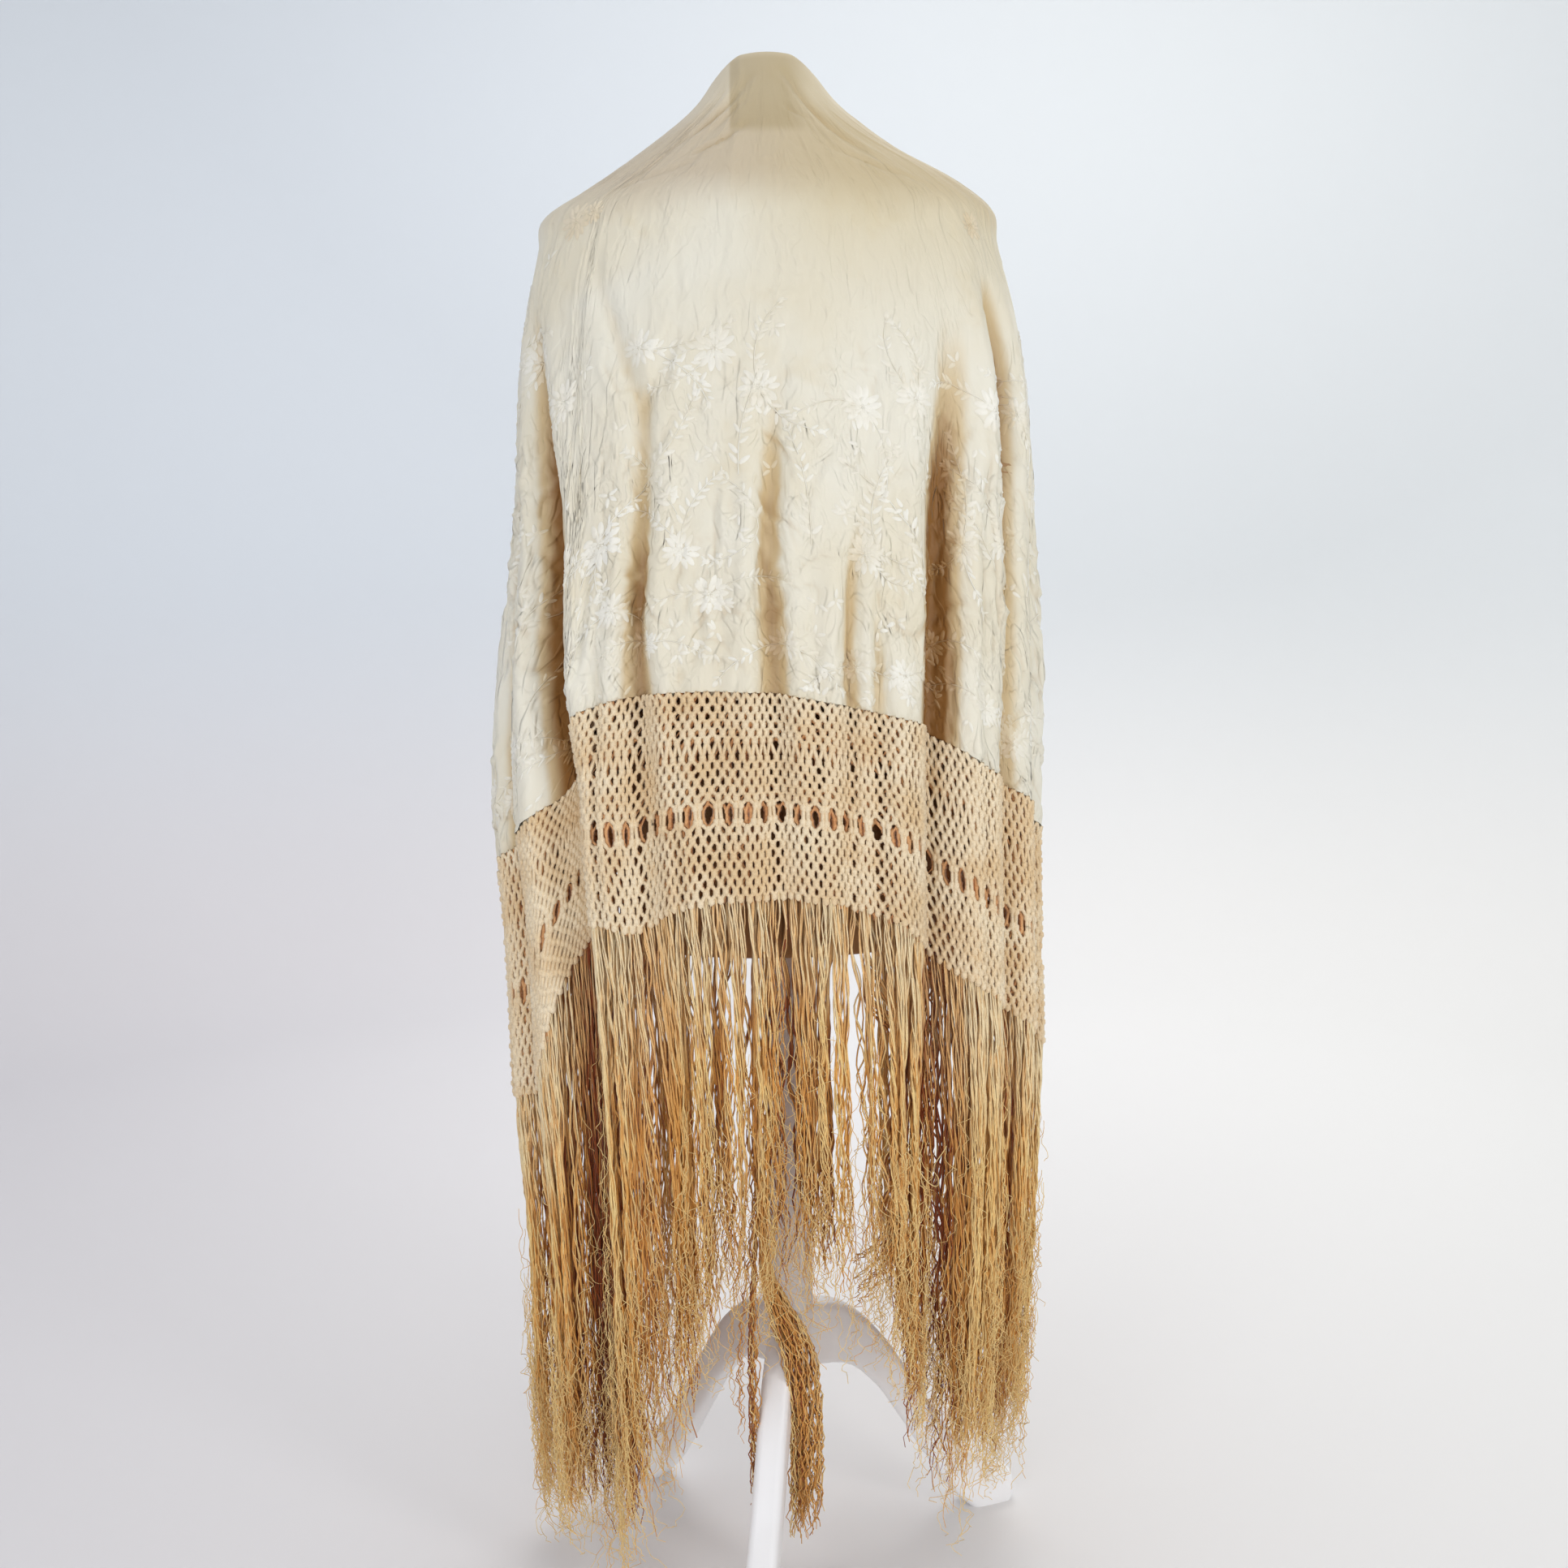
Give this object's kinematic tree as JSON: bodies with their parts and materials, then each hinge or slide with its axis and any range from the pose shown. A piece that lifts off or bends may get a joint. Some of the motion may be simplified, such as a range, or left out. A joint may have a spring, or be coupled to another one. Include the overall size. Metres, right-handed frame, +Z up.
{
  "type": "fringed piano shawl on a limbless dress form with a tripod stand",
  "caption": "Embroidered silk shawl folded in half over a limbless dress form, with a knotted net and long fringe along its edge and curved legs that rest on the floor.",
  "frame": {"origin": "middle of the whole object's box, on the floor plane", "axes": "+Z up, -Y is where the back of the shawl faces, +Y is its front opening, +X is the right side seen from the back"},
  "size_m": [0.5096, 0.4062, 1.43],
  "materials": {
    "silk": "ivory silk crepe with a soft sheen and raised ivory embroidery",
    "net": "knotted silk twist, matt to satin",
    "fringe": "crinkled tan silk twist with a slight sheen",
    "form_cover": "matt stretched jersey",
    "painted_wood": "white satin paint on wood"
  },
  "bodies": {
    "root": {"silk_back": "silk", "silk_left": "silk", "silk_right": "silk", "net_back": "net", "net_left": "net", "net_right": "net", "under_net_back": "net", "under_net_left": "net", "under_net_right": "net", "fringe_back": "fringe", "fringe_left": "fringe", "fringe_right": "fringe", "under_fringe_back": "fringe", "form_torso": "form_cover", "form_neck_block": "painted_wood", "stand_pole": "painted_wood", "stand_leg_near": "painted_wood", "stand_leg_right": "painted_wood", "stand_leg_left": "painted_wood"}
  },
  "joints": []
}
